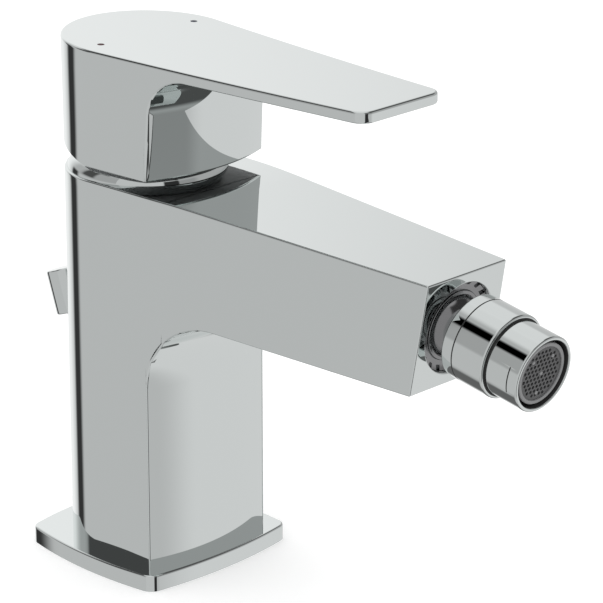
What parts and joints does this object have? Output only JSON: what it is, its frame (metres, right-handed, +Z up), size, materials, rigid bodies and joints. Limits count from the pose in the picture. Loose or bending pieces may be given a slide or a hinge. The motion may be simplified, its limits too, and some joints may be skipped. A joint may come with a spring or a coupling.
{
  "type": "bidet mixer",
  "caption": "Single-lever bidet mixer with a flat paddle lever, a square-edged spout, a swivelling ball-jointed nozzle and a pull rod for the waste.",
  "frame": {"origin": "middle of the base plate's underside, where the mixer stands on the deck of the bidet", "axes": "+Z up, -Y to the front along the spout, +X to the right seen from the front"},
  "size_m": [0.0576, 0.1875, 0.1524],
  "materials": {
    "chrome": "polished",
    "brass": "turned",
    "steel": "turned",
    "dark_steel": "blackened",
    "grey_plastic": "moulded",
    "dark_plastic": "moulded",
    "ceramic": "lapped",
    "seal": "moulded",
    "hot": "filled dot",
    "cold": "filled dot"
  },
  "bodies": {
    "mixer": {"base_plate": "chrome", "base_seal": "seal", "body": "chrome", "cartridge_base": "grey_plastic", "port_seals": "seal", "cartridge_housing": "grey_plastic", "fixed_disc": "ceramic", "cartridge_nut": "brass", "dome_ring": "chrome", "nozzle_nut": "dark_steel", "ball_seat": "seal", "rod_bush": "grey_plastic"},
    "rotor": {"rotor": "grey_plastic", "pivot_pin": "steel"},
    "lever": {"lever": "chrome", "stem": "steel", "grub_screw": "dark_steel", "screw_cap": "grey_plastic", "hot_mark": "hot", "cold_mark": "cold"},
    "disc": {"moving_disc": "ceramic", "disc_carrier": "grey_plastic"},
    "slip_ring": {"slip_ring": "grey_plastic"},
    "nozzle": {"nozzle_ball": "chrome", "nozzle_sleeve": "chrome", "aerator_core": "grey_plastic", "aerator_mesh": "dark_plastic", "aerator_washer": "seal"},
    "pull_rod": {"pull_rod": "chrome", "rod_knob": "chrome"}
  },
  "joints": [
    {"name": "lever_turn", "type": "hinge", "parent": "mixer", "child": "rotor", "pos_m": [0, 0.0008, 0.112], "axis": [0, 0, 1], "range_deg": [-45, 45]},
    {"name": "lever_lift", "type": "hinge", "parent": "rotor", "child": "lever", "pos_m": [0, 0.0008, 0.112], "axis": [-1, 0, 0], "range_deg": [0, 16]},
    {"name": "disc_slide", "type": "slide", "parent": "rotor", "child": "disc", "axis": [0, -1, 0], "range_m": [0, 0.003]},
    {"name": "nozzle_swing", "type": "hinge", "parent": "mixer", "child": "slip_ring", "pos_m": [0, -0.10959, 0.09387], "axis": [0, 0, 1], "range_deg": [-14, 14]},
    {"name": "nozzle_dip", "type": "hinge", "parent": "slip_ring", "child": "nozzle", "pos_m": [0, -0.10959, 0.09387], "axis": [1, 0, 0], "range_deg": [-14, 14]},
    {"name": "rod_pull", "type": "slide", "parent": "mixer", "child": "pull_rod", "axis": [0, 0.3256, 0.9455], "range_m": [-0.007, 0.01]}
  ],
  "couplings": [
    {"joint": "disc_slide", "follows": "lever_lift", "m_per_rad": 0.0107}
  ]
}
